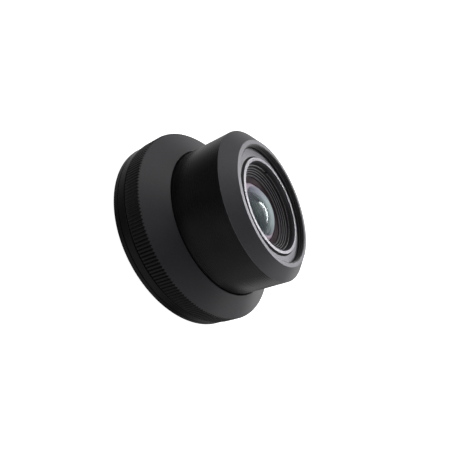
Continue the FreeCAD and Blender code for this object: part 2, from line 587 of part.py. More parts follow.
pinion = tooth_gear(int(D["pinion_teeth"]), 0.8 * m, 1.25 * m, 0.05, 15.0).extrude(V(0, 0, 0.64))
pinion.translate(V(0, 0, 27.58))
pinion = pinion.fuse(Part.makeCylinder(0.5, 3.2, V(0, 0, 27.4)))
pinion.translate(V(motor_x, 0, 0))
keep(solid_of("motor_pinion", pinion), "motor_pinion")
motor = join("shutter_motor_blank", [rod("motor_case", 3.0, 7.2, V(motor_x, 0, D["cover_top_z"])),
                                     rod("motor_boss", 1.6, 0.6, V(motor_x, 0, D["cover_top_z"] + 7.2)),
                                     box("motor_terminals", 1.0, 4.0, 3.0, V(motor_x + 2.1, -2.0, D["cover_top_z"] + 2.0))])
doc.recompute()
cut("shutter_motor", motor, [rod("motor_bore", 0.56, 1.6, V(motor_x, 0, D["cover_top_z"] - 0.2))])

# ---------------------------------------------------------------- rear optics

turned("rear_cell", [
    (9.2, 25.85), (10.45, 25.85), (10.45, "plate_low_z"), (15.0, "plate_low_z"), (15.0, 9.6), (14.6, 9.2),
    (12.05, 9.2), (12.05, 23.55), (9.2, 23.55)])
element("doublet_front", 12.0, 16.9, 24.9, (24.6, 40.0), (18.5, 25.0))
element("doublet_rear", 12.0, 16.8, 21.565, (18.5, -25.0), None)
turned("rear_spacer", [(11.05, 11.79), (12.0, 11.79), (12.0, 16.8), (11.05, 16.8)])
element("rear_element", 12.0, 10.1, 13.4, (13.0, 50.0), None)
rl = turned("rear_lens_ring_blank", [(10.4, 9.2), (12.0, 9.2), (12.0, 10.1), (10.4, 10.1)], kept=False)
cut("rear_lens_ring", rl, [box("rear_notch_%d" % k, 1.8, 1.2, 0.5, V(10.0, -0.6, 9.0), 180.0 * k) for k in range(2)])

# Rollers that run in the cam and guide slots, each on a screw into the barrel.
rollers, screws = [], []
for k, a in enumerate(roller_angles):
    p = at(29.4, a, D["roller_z"])
    rollers.append(cut("roller_%d" % k, rod("roller_rod_%d" % k, "roller_radius", 3.6, p, out(a)),
                       [rod("roller_bore_%d" % k, 0.7, 6.0, at(29.0, a, D["roller_z"]), out(a)),
                        rod("roller_sink_%d" % k, 1.0, 1.0, at(32.5, a, D["roller_z"]), out(a))], kept=False))
    s = join("roller_screw_%d" % k, [rod("roller_shank_%d" % k, 0.7, 5.6, at(27.0, a, D["roller_z"]), out(a)),
                                     rod("roller_head_%d" % k, 1.0, 0.5, at(32.5, a, D["roller_z"]), out(a))])
    doc.recompute()
    screws.append(cut("roller_screw_slot_%d" % k, s, [rod("roller_key_%d" % k, 0.35, 0.6, at(32.7, a, D["roller_z"]), out(a))],
                      kept=False))
group("cam_rollers", rollers)
group("roller_screws", screws)

# ---------------------------------------------------------------- checks and files

doc.recompute()
bad = [o.Label for o in doc.Objects if any(s in ("Invalid", "Error") for s in o.State)]
if bad:
    raise SystemExit("failed objects: " + ", ".join(bad))
os.makedirs("parts", exist_ok=True)
names = [n for n, _ in NODES]
if len(set(names)) != len(names):
    raise SystemExit("two pieces share a name")
for label, obj in NODES:
    s = obj.Shape
    if s.isNull() or not s.isValid() or not s.Solids or s.Volume <= 0:
        raise SystemExit("bad shape: " + label)
for label, obj in NODES:
    obj.Shape.exportStep(os.path.join("parts", label + ".step"))
    bb = obj.Shape.BoundBox
    print("%-22s solids %2d  volume %9.2f  z %6.2f..%6.2f  r %6.2f" % (
        label, len(obj.Shape.Solids), obj.Shape.Volume, bb.ZMin, bb.ZMax, max(bb.XMax, bb.YMax)))
print(len(NODES), "pieces")
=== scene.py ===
import math

import bpy
import numpy as np
from mathutils import Matrix, Vector


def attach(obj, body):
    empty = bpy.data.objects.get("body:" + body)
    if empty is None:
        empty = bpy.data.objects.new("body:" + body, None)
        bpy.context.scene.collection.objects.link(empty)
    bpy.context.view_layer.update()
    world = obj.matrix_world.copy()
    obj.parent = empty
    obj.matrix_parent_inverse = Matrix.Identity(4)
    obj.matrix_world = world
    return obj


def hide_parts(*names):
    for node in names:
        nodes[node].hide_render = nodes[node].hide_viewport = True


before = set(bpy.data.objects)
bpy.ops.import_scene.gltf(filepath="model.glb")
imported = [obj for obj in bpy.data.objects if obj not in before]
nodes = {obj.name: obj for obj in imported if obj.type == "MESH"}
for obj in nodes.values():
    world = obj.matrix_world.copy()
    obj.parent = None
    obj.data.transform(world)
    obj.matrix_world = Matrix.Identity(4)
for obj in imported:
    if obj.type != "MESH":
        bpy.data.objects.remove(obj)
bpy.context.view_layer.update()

scene = bpy.context.scene
coll = scene.collection

# ------------------------------------------------------------------ camera
# Perspective fitted to the circles of the lens in the picture, 450 x 450.
RIGHT = Vector((0.24132796, -0.39664022, 0.88568468))
UP = Vector((0.50561042, 0.83039149, 0.23411124))
BACK = Vector((-0.82832295, 0.39131382, 0.40094212))
cam_data = bpy.data.cameras.new("camera")
cam = bpy.data.objects.new("camera", cam_data)
coll.objects.link(cam)
cam_data.sensor_width = 36.0
cam_data.sensor_fit = "HORIZONTAL"
cam_data.lens = 36.0 * 345.46 / 450.0
cam_data.shift_x = -(299.94 - 224.5) / 450.0
cam_data.shift_y = (286.06 - 224.5) / 450.0
cam_data.clip_start = 0.005
cam_data.clip_end = 20.0
m = Matrix((RIGHT, UP, BACK)).transposed().to_4x4()
m.translation = Vector((-0.12215291, 0.02203533, 0.10192547))
cam.matrix_world = m
scene.camera = cam

# ------------------------------------------------------------------ lathe work


def rounded(pts, closed=True):
    """Profile corners (r, z, fillet) in mm turned into a fine polyline of (r, z,
    edge). Each arc has support points on both sides, so the flats next to it stay
    flat; edge is 1 on an outer corner and 0 elsewhere."""
    out = []
    n = len(pts)
    area = sum(pts[i - 1][0] * pts[i][1] - pts[i][0] * pts[i - 1][1] for i in range(n))
    for i in range(n):
        r, z = pts[i][0], pts[i][1]
        fil = pts[i][2] if len(pts[i]) > 2 else 0.0
        p = np.array([r, z])
        if fil <= 0 or (not closed and i in (0, n - 1)):
            out.append((r, z, 0.0))
            continue
        a = np.array(pts[i - 1][:2]) - p
        b = np.array(pts[(i + 1) % n][:2]) - p
        la, lb = np.linalg.norm(a), np.linalg.norm(b)
        a, b = a / la, b / lb
        ang = math.acos(max(-1.0, min(1.0, float(a @ b))))
        t = min(fil / math.tan(ang / 2), 0.45 * la, 0.45 * lb)
        rad = t * math.tan(ang / 2)
        c = p + (a + b) / np.linalg.norm(a + b) * rad / math.sin(ang / 2)
        s, e = p + a * t, p + b * t
        v0, v1 = s - c, e - c
        turn = math.atan2(v0[0] * v1[1] - v0[1] * v1[0], v0 @ v1)
        edge = 1.0 if turn * area > 0 else 0.0
        extra = min(0.02, 0.04 * la, 0.04 * lb)
        out.append((*(s + a * extra), 0.0))
        steps = max(3, int(abs(math.degrees(turn)) / 15))
        for k in range(steps + 1):
            w = turn * k / steps
            q = c + np.array([v0[0] * math.cos(w) - v0[1] * math.sin(w), v0[0] * math.sin(w) + v0[1] * math.cos(w)])
            out.append((*q, edge))
        out.append((*(e + b * extra), 0.0))
    return out


def lathe(name, body, profile, segs=360, shape=None, replaces=(), sharp=35.0, closed=True):
    """Closed solid of revolution about the optical axis. shape(theta, r, z) may
    move points; sizes in mm."""
    prof = np.array([(*q, 0.0)[:3] for q in profile], float)
    # counter-clockwise in the (r, z) plane, so that the faces look outwards
    area = 0.5 * np.sum(prof[:, 0] * np.roll(prof[:, 1], -1) - np.roll(prof[:, 0], -1) * prof[:, 1])
    if area < 0:
        prof = prof[::-1]
    n = len(prof)
    th = np.arange(segs) * 2 * math.pi / segs
    R = np.repeat(prof[None, :, 0], segs, 0)
    Z = np.repeat(prof[None, :, 1], segs, 0)
    T = np.repeat(th[:, None], n, 1)
    if shape is not None:
        R, Z = shape(T, R, Z)
    co = np.stack([R * np.cos(T), R * np.sin(T), Z], -1).reshape(-1, 3) / 1000.0
    faces = []
    m_ = n if closed else n - 1
    axis = [j for j in range(n) if prof[j, 0] < 1e-9]
    for i in range(segs):
        i2 = (i + 1) % segs
        for j in range(m_):
            j2 = (j + 1) % n
            if prof[j, 0] < 1e-9 and prof[j2, 0] < 1e-9:
                continue
            if prof[j, 0] < 1e-9:
                faces.append((0 * n + j, i2 * n + j2, i * n + j2))
            elif prof[j2, 0] < 1e-9:
                faces.append((i * n + j, i2 * n + j, 0 * n + j2))
            else:
                faces.append((i * n + j, i2 * n + j, i2 * n + j2, i * n + j2))
    me = bpy.data.meshes.new(name)
    me.from_pydata(co.tolist(), [], faces)
    worn = me.attributes.new("edge", "FLOAT", "POINT")
    worn.data.foreach_set("value", np.tile(prof[:, 2], segs).astype(np.float32))
    ob = bpy.data.objects.new(name, me)
    coll.objects.link(ob)
    if axis:
        clean(ob)
    finish_mesh(ob, sharp)
    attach(ob, body)
    if replaces:
        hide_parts(*replaces)
    return ob


def clean(ob):
    import bmesh
    bm = bmesh.new()
    bm.from_mesh(ob.data)
    loose = [v for v in bm.verts if not v.link_faces]
    bmesh.ops.delete(bm, geom=loose, context="VERTS")
    bmesh.ops.recalc_face_normals(bm, faces=bm.faces)
    bm.to_mesh(ob.data)
    bm.free()


def finish_mesh(ob, sharp):
    me = ob.data
    me.polygons.foreach_set("use_smooth", [True] * len(me.polygons))
    me.set_sharp_from_angle(angle=math.radians(sharp))
    me.update()


# ------------------------------------------------------------------ materials


class Mat:
    """Small helper to build a node material in object space."""

    def __init__(self, name, turned=True):
        self.turned = turned
        self.m = bpy.data.materials.new(name)
        self.m.use_nodes = True
        self.nt = self.m.node_tree
        self.b = self.nt.nodes["Principled BSDF"]
        self.tc = self.add("ShaderNodeTexCoord")
        self.pos = self.tc.outputs["Object"]

    def add(self, kind, **props):
        n = self.nt.nodes.new(kind)
        for k, v in props.items():
            setattr(n, k, v)
        return n

    def link(self, a, b):
        self.nt.links.new(a, b)

    def set(self, **kw):
        for k, v in kw.items():
            self.b.inputs[k.replace("_", " ")].default_value = v
        return self

    def noise(self, scale, detail=2.0, rough=0.5, vec=None, out="Fac"):
        n = self.add("ShaderNodeTexNoise")
        n.inputs["Scale"].default_value = scale
        n.inputs["Detail"].default_value = detail
        n.inputs["Roughness"].default_value = rough
        self.link(vec or self.pos, n.inputs["Vector"])
        return n.outputs[out]

    def math(self, op, a, b=None, c=None, clamp=False):
        n = self.add("ShaderNodeMath", operation=op, use_clamp=clamp)
        for i, v in enumerate((a, b, c)):
            if v is None:
                continue
            if isinstance(v, (int, float)):
                n.inputs[i].default_value = v
            else:
                self.link(v, n.inputs[i])
        return n.outputs[0]

    def rng(self, v, a, b, c, d, smooth=False):
        n = self.add("ShaderNodeMapRange")
        n.interpolation_type = "SMOOTHSTEP" if smooth else "LINEAR"
        n.clamp = True
        for i, x in enumerate((a, b, c, d)):
            n.inputs[1 + i].default_value = x
        self.link(v, n.inputs[0])
        return n.outputs[0]

    def mix(self, fac, a, b):
        n = self.add("ShaderNodeMix", data_type="RGBA")
        for s, v in ((0, fac), (6, a), (7, b)):
            if isinstance(v, (int, float)):
                n.inputs[s].default_value = v
            elif isinstance(v, tuple):
                n.inputs[s].default_value = v if len(v) == 4 else (*v, 1.0)
            else:
                self.link(v, n.inputs[s])
        return n.outputs[2]

    def mixf(self, fac, a, b):
        n = self.add("ShaderNodeMix", data_type="FLOAT")
        for s, v in ((0, fac), (2, a), (3, b)):
            if isinstance(v, (int, float)):
                n.inputs[s].default_value = v
            else:
                self.link(v, n.inputs[s])
        return n.outputs[0]

    def split(self):
        n = self.add("ShaderNodeSeparateXYZ")
        self.link(self.pos, n.inputs[0])
        return n.outputs

    def radius(self):
        x, y, z = self.split()
        return self.math("SQRT", self.math("ADD", self.math("MULTIPLY", x, x), self.math("MULTIPLY", y, y)))

    def angle(self):
        x, y, z = self.split()
        return self.math("ARCTAN2", y, x)

    def bump(self, height, strength, distance, normal=None):
        n = self.add("ShaderNodeBump")
        n.inputs["Strength"].default_value = strength
        n.inputs["Distance"].default_value = distance
        self.link(height, n.inputs["Height"])
        if normal is not None:
            self.link(normal, n.inputs["Normal"])
        return n.outputs[0]

    def wear(self):
        """Rubbed edges: the marked corners of the turned pieces, and on the others
        the places where a small bevel would turn the surface."""
        if self.turned:
            n = self.add("ShaderNodeAttribute", attribute_name="edge")
            return self.rng(n.outputs["Fac"], 0.05, 0.9, 0.0, 1.0, True)
        g = self.add("ShaderNodeNewGeometry")
        bev = self.add("ShaderNodeBevel", samples=4)
        bev.inputs["Radius"].default_value = 0.00012
        d = self.add("ShaderNodeVectorMath", operation="DOT_PRODUCT")
        self.link(g.outputs["Normal"], d.inputs[0])
        self.link(bev.outputs[0], d.inputs[1])
        return self.rng(self.math("SUBTRACT", 1.0, d.outputs["Value"]), 0.02, 0.20, 0.0, 1.0, True)

    def out(self, color=None, rough=None, normal=None, metallic=None):
        if color is not None:
            self.link(color, self.b.inputs["Base Color"])
        if rough is not None:
            self.link(rough, self.b.inputs["Roughness"])
        if normal is not None:
            self.link(normal, self.b.inputs["Normal"])
        if metallic is not None:
            self.link(metallic, self.b.inputs["Metallic"])
        return self.m


def blasted(name, dark, light, rough=0.58, grain=0.5, bead=0.00016, ior=1.55, turned=True):
    """Bead blasted, black anodised metal: fine dimples, cloudy tone, worn edges."""
    k = Mat(name, turned)
    k.set(IOR=ior)
    fine = k.noise(1.0 / bead, 2.0, 0.6)
    mid = k.noise(1.0 / 0.0006, 3.0, 0.55)
    big = k.noise(1.0 / 0.011, 3.0, 0.5)
    tone = k.math("ADD", k.math("MULTIPLY", fine, 0.45), k.math("ADD", k.math("MULTIPLY", mid, 0.35), k.math("MULTIPLY", big, 0.20)))
    col = k.mix(k.rng(tone, 0.32, 0.68, 0.0, 1.0), dark, light)
    edge = k.math("MULTIPLY", k.wear(), k.rng(mid, 0.35, 0.65, 0.25, 0.75))
    col = k.mix(edge, col, tuple(min(1.0, 2.6 * c) for c in light))
    r = k.rng(tone, 0.3, 0.7, rough - 0.07, rough + 0.07)
    nrm = k.bump(fine, grain, 0.00003, k.bump(mid, grain * 0.5, 0.00003))
    return k.out(col, r, nrm)


def satin(name, dark, light, rough=0.36, turning=0.35, ior=1.5, turned=True, spec=0.5, deep=None):
    """Satin anodised, turned metal: faint tool rings round the axis. deep is (low z, high z, share): a matt bore with
    painted shade, darker towards its bottom."""
    k = Mat(name, turned)
    k.set(IOR=ior)
    k.b.inputs["Specular IOR Level"].default_value = spec
    x, y, z = k.split()
    rad = k.radius()
    along = k.math("ADD", k.math("MULTIPLY", z, 1.0), rad)
    comb = k.add("ShaderNodeCombineXYZ")
    k.link(k.math("MULTIPLY", along, 9000.0), comb.inputs[0])
    k.link(k.math("MULTIPLY", k.angle(), 0.6), comb.inputs[1])
    ring = k.add("ShaderNodeTexNoise")
    ring.inputs["Scale"].default_value = 1.0
    ring.inputs["Detail"].default_value = 3.0
    k.link(comb.outputs[0], ring.inputs["Vector"])
    ring = ring.outputs["Fac"]
    fine = k.noise(5200.0, 2.0, 0.6)
    big = k.noise(90.0, 3.0, 0.55)
    col = k.mix(k.rng(k.math("ADD", k.math("MULTIPLY", big, 0.6), k.math("MULTIPLY", fine, 0.4)), 0.35, 0.65, 0.0, 1.0), dark, light)
    # painted shade: the colour darkens towards the bottom of a bore
    if deep:
        col = k.mix(k.rng(z, deep[0], deep[1], 0.0, 1.0, True), tuple(deep[2] * c for c in dark), col)
    edge = k.math("MULTIPLY", k.wear(), k.rng(fine, 0.35, 0.65, 0.2, 0.7))
    col = k.mix(edge, col, tuple(min(1.0, 3.0 * c) for c in light))
    r = k.rng(k.math("ADD", k.math("MULTIPLY", ring, 0.5), k.math("MULTIPLY", big, 0.5)), 0.3, 0.7, rough - 0.05, rough + 0.06)
    nrm = k.bump(ring, turning, 0.000006, k.bump(fine, 0.25, 0.000012))
    return k.out(col, r, nrm)


def ridged(name, deep, crest_highlight, rough=0.36):
    """Black baffle: the crests are painted light, a painted highlight along each ridge, and the grooves stay matt.
    The crests lie on the cone z = r + 27.75 mm; the innermost one gets less of the painted highlight."""
    k = Mat(name)
    k.set(IOR=1.40)
    x, y, z = k.split()
    off = k.math("SUBTRACT", z, k.radius())
    # painted highlight on the crests, weaker on the innermost one
    top = k.rng(off, 0.02735, 0.02772, 0.0, 1.0, True)
    top = k.math("MULTIPLY", top, k.rng(k.radius(), 0.01418, 0.01450, 0.65, 1.0, True))
    fine = k.noise(5200.0, 2.0, 0.6)
    big = k.noise(300.0, 3.0, 0.55)
    painted_crest_highlight = k.math("MULTIPLY", top, k.rng(k.math("ADD", k.math("MULTIPLY", big, 0.6), k.math("MULTIPLY", fine, 0.4)), 0.3, 0.7, 0.7, 1.0))
    col = k.mix(painted_crest_highlight, deep, crest_highlight)
    col = k.mix(k.math("MULTIPLY", k.wear(), 0.25), col, tuple(min(1.0, 2.0 * c) for c in crest_highlight))
    r = k.math("ADD", k.rng(painted_crest_highlight, 0.0, 1.0, rough + 0.16, rough), k.rng(fine, 0.3, 0.7, -0.04, 0.04))
    return k.out(col, r, k.bump(fine, 0.25, 0.000012))


def metal(name, color, rough=0.3, ring_depth=0.3, spot=0.15, turned=True):
    """Bare metal with fine turning marks, small stains and polished edges."""
    k = Mat(name, turned)
    k.set(Metallic=1.0)
    x, y, z = k.split()
    comb = k.add("ShaderNodeCombineXYZ")
    k.link(k.math("MULTIPLY", k.math("ADD", z, k.radius()), 12000.0), comb.inputs[0])
    k.link(k.math("MULTIPLY", k.angle(), 0.5), comb.inputs[1])
    ring = k.add("ShaderNodeTexNoise")
    ring.inputs["Scale"].default_value = 1.0
    ring.inputs["Detail"].default_value = 3.0
    k.link(comb.outputs[0], ring.inputs["Vector"])
    ring = ring.outputs["Fac"]
    big = k.noise(160.0, 4.0, 0.6)
    fine = k.noise(4200.0, 2.0, 0.6)
    col = k.mix(k.rng(big, 0.35, 0.7, 0.0, 1.0), color, tuple(c * (1.0 - spot) for c in color))
    col = k.mix(k.math("MULTIPLY", k.wear(), 0.6), col, tuple(min(1.0, c * 1.35 + 0.05) for c in color))
    r = k.rng(k.math("ADD", k.math("MULTIPLY", ring, 0.6), k.math("MULTIPLY", big, 0.4)), 0.3, 0.7, rough - 0.06, rough + 0.08)
    return k.out(col, r, k.bump(ring, ring_depth, 0.000006, k.bump(fine, 0.15, 0.00001)))


def plastic(name, dark, light, rough=0.45, grain=0.0003):
    k = Mat(name, False)
    fine = k.noise(1.0 / grain, 3.0, 0.6)
    big = k.noise(120.0, 3.0, 0.5)
    col = k.mix(k.rng(big, 0.35, 0.65, 0.0, 1.0), dark, light)
    col = k.mix(k.math("MULTIPLY", k.wear(), 0.5), col, tuple(min(1.0, 1.6 * c + 0.01) for c in light))
    return k.out(col, k.rng(fine, 0.3, 0.7, rough - 0.08, rough + 0.08), k.bump(fine, 0.3, 0.00002))


def glass(name, tint, reflect, rough=0.015, ior=1.62, film=0.0):
    """Polished coated glass: faint cleaning haze and a coloured reflection."""
    k = Mat(name)
    k.set(IOR=ior)
    k.b.inputs["Transmission Weight"].default_value = 1.0
    k.b.inputs["Specular Tint"].default_value = (*reflect, 1.0)
    k.b.inputs["Specular IOR Level"].default_value = 0.5
    haze = k.noise(55.0, 4.0, 0.6)
    dust = k.noise(2600.0, 1.0, 0.4)
    col = k.mix(k.rng(haze, 0.35, 0.7, 0.0, 1.0), tint, tuple(c * 0.93 for c in tint))
    r = k.math("ADD", k.rng(haze, 0.4, 0.75, rough * 0.4, rough * 1.6), k.rng(dust, 0.70, 0.80, 0.0, 0.05))
    return k.out(col, r, k.bump(haze, 0.02, 0.00001))


def coated_dome(name):
    """The coated front glass: clear and dark at its middle, with a pale bluish veil that grows towards grazing view,
    and a ground, pale lilac seat round the edge. Painted reflection: the veil starts later on the glass's -y side and
    the colour turns indigo towards +y (tilted a little to +x)."""
    k = Mat(name)
    k.set(IOR=1.62)
    k.b.inputs["Specular Tint"].default_value = (0.46, 0.52, 0.52, 1.0)
    k.b.inputs["Specular IOR Level"].default_value = 0.30
    w = k.add("ShaderNodeLayerWeight")
    w.inputs["Blend"].default_value = 0.5
    f = w.outputs["Facing"]
    haze = k.noise(90.0, 4.0, 0.6)
    dust = k.noise(2600.0, 1.0, 0.4)
    x, y, z = k.split()
    # painted reflection: side runs across the glass from low to high y; it thins the veil at the low end and tints
    # the glass indigo at the high end
    side = k.math("ADD", y, k.math("MULTIPLY", x, 0.3))
    painted_veil_start = k.rng(side, -0.0085, -0.0050, VEIL[1] + VEIL[3], VEIL[1], True)
    veil = k.math("MULTIPLY_ADD", k.math("MAXIMUM", k.math("SUBTRACT", f, painted_veil_start), 0.0), VEIL[0], VEIL[2])
    veil = k.math("MULTIPLY", veil, k.rng(haze, 0.3, 0.7, 0.92, 1.08), None, True)
    wavy = k.math("ADD", k.radius(), k.rng(haze, 0.3, 0.7, -0.0001, 0.0001))
    seat = k.rng(wavy, SEAT[0] / 1000.0, SEAT[1] / 1000.0, 0.0, 1.0, True)
    body = k.math("MAXIMUM", veil, k.math("MULTIPLY", seat, SEAT[2]))
    col = k.mix(k.rng(haze, 0.35, 0.7, 0.0, 1.0), TEAL, tuple(c * 0.95 for c in TEAL))
    # painted reflection: indigo tint towards the high side of the glass
    col = k.mix(k.rng(side, 0.0015, 0.0085, 0.0, 1.0, True), col, PAINTED_REFLECTION_INDIGO)
    col = k.mix(seat, col, LILAC)
    k.link(k.math("SUBTRACT", 1.0, body), k.b.inputs["Transmission Weight"])
    r = k.math("ADD", k.rng(haze, 0.4, 0.75, 0.004, 0.010), k.rng(dust, 0.72, 0.82, 0.0, 0.012))
    return k.out(col, r, k.bump(haze, 0.002, 0.00001))


# VEIL: slope, start, base, and the shift of the start on the low side, which is painted reflection; the indigo colour
# below is a painted reflection tint
VEIL = (1.95, 0.40, 0.08, 0.08)
SEAT = (9.5, 10.2, 1.0)
TEAL = (0.78, 0.94, 0.97)
PAINTED_REFLECTION_INDIGO = (0.72, 0.76, 0.90)
LILAC = (0.90, 0.76, 0.92)
M = {}
M["cone"] = blasted("blasted black", (0.031, 0.030, 0.0355), (0.049, 0.047, 0.056), 0.37)
M["knurl"] = satin("knurl satin black", (0.0065, 0.0065, 0.0068), (0.0108, 0.0105, 0.011), 0.36, ior=1.45, spec=0.34)
M["band"] = satin("band satin black", (0.0046, 0.0046, 0.0046), (0.0078, 0.0075, 0.0075), 0.27, ior=1.38, spec=0.33)
M["barrel"] = satin("barrel satin black", (0.010, 0.010, 0.0105), (0.0155, 0.0155, 0.016), 0.26, 0.05)
M["bevel"] = blasted("bevel blasted black", (0.047, 0.046, 0.0535), (0.072, 0.070, 0.082), 0.39)
M["face"] = metal("front face grey", (0.208, 0.205, 0.221), 0.32, 0.25)
M["ring"] = metal("raised ring grey", (0.41, 0.40, 0.43), 0.29, 0.25)
M["thread"] = satin("thread black", (0.060, 0.058, 0.062), (0.082, 0.079, 0.084), 0.34)
# the bore's darker bottom is painted shade
M["bore"] = satin("ring bore black", (0.072, 0.070, 0.075), (0.098, 0.095, 0.101), 0.42, spec=0.32, deep=(0.0455, 0.0467, 0.36))
M["land"] = satin("bore land grey", (0.150, 0.146, 0.155), (0.195, 0.190, 0.201), 0.36)
M["inside"] = satin("inner matt black", (0.008, 0.008, 0.0085), (0.014, 0.0135, 0.0145), 0.5, turned=False)
# the second colour is the painted highlight on the baffle crests
M["baffle"] = ridged("baffle black", (0.0035, 0.0034, 0.0036), (0.250, 0.244, 0.259))
M["brown"] = satin("lens lip brown black", (0.034, 0.0195, 0.024), (0.048, 0.0285, 0.034), 0.45, spec=0.08)
M["front_glass"] = coated_dome("coated front glass")
M["inner_glass"] = glass("coated inner glass", (0.92, 0.96, 0.96), (1.0, 0.45, 0.80))
M["rear_glass"] = glass("coated rear glass", (0.93, 0.97, 0.95), (0.60, 1.0, 0.75))
M["chrome"] = metal("chromed mount metal", (0.62, 0.62, 0.64), 0.22, 0.4, turned=False)
M["screw"] = metal("stainless screws", (0.50, 0.50, 0.51), 0.30, 0.3, turned=False)
M["steel"] = metal("drawn can steel", (0.55, 0.55, 0.57), 0.33, 0.2, turned=False)
M["alu"] = metal("guide aluminium", (0.68, 0.68, 0.70), 0.34, 0.5, turned=False)
M["brass"] = metal("milled cam brass", (0.72, 0.53, 0.24), 0.30, 0.4, turned=False)
M["gold"] = metal("contact gold plate", (0.95, 0.70, 0.30), 0.20, 0.1, turned=False)
M["blade"] = satin("blackened blade steel", (0.018, 0.018, 0.020), (0.030, 0.030, 0.034), 0.35, turned=False)
M["white"] = plastic("slippery washer plastic", (0.62, 0.62, 0.58), (0.72, 0.72, 0.68), 0.5)
M["plastic"] = plastic("moulded black plastic", (0.012, 0.012, 0.012), (0.022, 0.022, 0.023), 0.45)
M["board"] = plastic("glass epoxy green", (0.010, 0.075, 0.035), (0.014, 0.11, 0.05), 0.30)
M["felt"] = plastic("flocked black felt", (0.006, 0.006, 0.006), (0.012, 0.012, 0.012), 0.95, 0.0002)
M["rear_black"] = satin("rear satin black", (0.011, 0.011, 0.011), (0.018, 0.0175, 0.0175), 0.34, turned=False)

# CAD nodes that keep their own shape
LOOK = {
    "mount_ring": "chrome", "mount_screws": "screw", "rear_ring": "rear_black", "rear_ring_screws": "screw",
    "sleeve_screws": "screw", "base_ring": "rear_black", "focus_stop_pin": "screw", "guide_sleeve": "alu",
    "thrust_washer": "white", "friction_washer": "white", "sleeve_lock_ring": "inside", "contact_block": "plastic",
    "contact_pins": "gold", "rear_mask": "inside", "circuit_board": "board", "board_chips": "plastic",
    "focus_ring": "cone", "dust_seal": "felt", "cam_sleeve": "brass", "cam_sleeve_screws": "screw",
    "front_barrel": "barrel", "front_retaining_ring": "ring", "light_baffle": "baffle", "front_lens_ring": "brown",
    "front_cell": "inside", "front_element": "front_glass", "front_spacer": "inside", "second_element": "inner_glass",
    "shutter_plate": "inside", "shutter_cover": "inside", "shutter_posts": "brass", "shutter_screws": "screw",
    "shutter_lock_ring": "inside", "shutter_drive_ring": "blade", "motor_pinion": "brass", "shutter_motor": "steel",
    "rear_cell": "inside", "doublet_front": "inner_glass", "doublet_rear": "inner_glass", "rear_spacer": "inside",
    "rear_element": "rear_glass", "rear_lens_ring": "inside", "cam_rollers": "brass", "roller_screws": "screw",
    **{"shutter_blade_%d" % i: "blade" for i in range(1, 7)},
}


def dress(ob, *mats):
    ob.data.materials.clear()
    for m_ in mats:
        ob.data.materials.append(m_)


for name, look in LOOK.items():
    o = nodes[name]
    dress(o, M[look])


def by_face(ob, pick, *mats):
    """Several finishes on one piece: pick(centre mm, normal) gives the slot."""
    dress(ob, *mats)
    me = ob.data
    idx = [pick(p.center * 1000.0, p.normal) for p in me.polygons]
    me.polygons.foreach_set("material_index", idx)
    me.update()


# ------------------------------------------------------------------ focus ring

N_FLUTE, DEPTH = 200, 0.38
SUB = 10


def flutes(T, R, Z):
    u = (T * N_FLUTE / (2 * math.pi)) % 1.0
    d = np.minimum(u, 1 - u)                       # 0 on the crest, 0.5 in the groove
    g = np.clip((d - 0.25) / (0.45 - 0.25), 0, 1)
    g = g * g * (3 - 2 * g) * 0.5 + g * 0.5        # V with softened edges
    return np.minimum(R, 38.4 - DEPTH * g), Z


ring_prof = rounded([
    (36.4, 13.86), (38.15, 13.86, 0.05), (38.4, 14.11, 0.12), (38.4, 19.95, 0.03), (38.34, 20.00, 0.02),
    (30.02, 25.30, 0.06), (29.80, 25.20, 0.04), (29.80, 24.72), (30.9, 24.72), (30.9, 23.92), (29.80, 23.92),
    (29.80, 23.3), (33.22, 21.8), (33.22, 15.2), (36.4, 15.2)])
# extra rows on the outer edge, where the flutes run out on the bevel
rows = []
for i, p in enumerate(ring_prof):
    rows.append(p)
    q = ring_prof[(i + 1) % len(ring_prof)]
    if p[0] > 38.0 and p[1] > 19.9 and q[0] < 33:
        slope = (25.30 - 20.0) / (30.02 - 38.34)
        for r in (38.28, 38.20, 38.12, 38.04, 37.96, 37.90, 37.6, 36.0, 34.0, 32.0):
            rows.append((r, 20.0 + slope * (r - 38.34)))
ring_prof = rows
focus = lathe("focus_ring_knurled", "focus_unit", ring_prof, N_FLUTE * SUB, flutes, ["focus_ring"], 40.0)
by_face(focus, lambda c, n: 1 if (c.xy.length > 37.75 and n.z < 0.55) or c.z < 19.9 and c.xy.length > 37.0 else 0,
        M["cone"], M["knurl"])

# ------------------------------------------------------------------ front barrel

PITCH = 0.75


def thread(T, R, Z):
    """Right hand screw thread between the mouth and the relief groove."""
    out = R.copy()
    zone = (np.abs(R - 22.6) < 1e-6) & (Z < 48.44) & (Z > 47.12)
    ph = ((Z - 47.0) / PITCH - T / (2 * math.pi)) % 1.0
    d = np.abs(ph - 0.5) * 2                        # 1 at the crest, 0 at the root
    cut_ = np.clip((0.82 - d) / 0.72, 0, 1) * 0.42
    fade = np.clip((48.46 - Z) / 0.08, 0, 1) * np.clip((Z - 47.12) / 0.06, 0, 1)
    out[zone] = (R + cut_ * fade)[zone]
    return out, Z


barrel_pts = [
    (27.0, 12.6), (29.2, 12.6, 0.05), (29.4, 12.8, 0.05), (29.4, 44.69, 0.16), (24.52, 48.76, 0.07),
    (23.04, 48.76, 0.05), (22.6, 48.46, 0.02)]
barrel_prof = rounded(barrel_pts + [(22.6, 46.9), (22.6, 46.25), (19.43, 46.25), (19.43, 42.6), (26.2, 42.6), (26.2, 29.4), (27.0, 29.4)])
